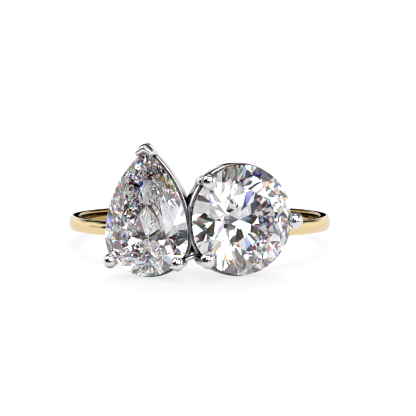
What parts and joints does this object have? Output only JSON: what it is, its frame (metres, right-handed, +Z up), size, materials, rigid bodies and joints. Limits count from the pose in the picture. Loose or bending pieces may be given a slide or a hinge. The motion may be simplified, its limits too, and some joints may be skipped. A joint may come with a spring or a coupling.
{
  "type": "toi et moi ring",
  "caption": "Toi et moi ring: a plain band carries a pear brilliant and a round brilliant side by side in a soldered prong head.",
  "frame": {"origin": "centre of the finger hole", "axes": "+Z up as the ring lies on its side on a surface, -Y towards the stones, +X from the pear towards the round stone; the finger hole's axis leans 6 degrees back from +Z, because the ring rests on its setting and the back of its band"},
  "size_m": [0.0198, 0.0256, 0.0097],
  "materials": {
    "yellow_gold": "polished",
    "white_gold": "polished",
    "diamond": "clear, faceted"
  },
  "bodies": {
    "root": {"shank": "yellow_gold", "head": "white_gold", "pear_diamond": "diamond", "round_diamond": "diamond"}
  },
  "joints": []
}
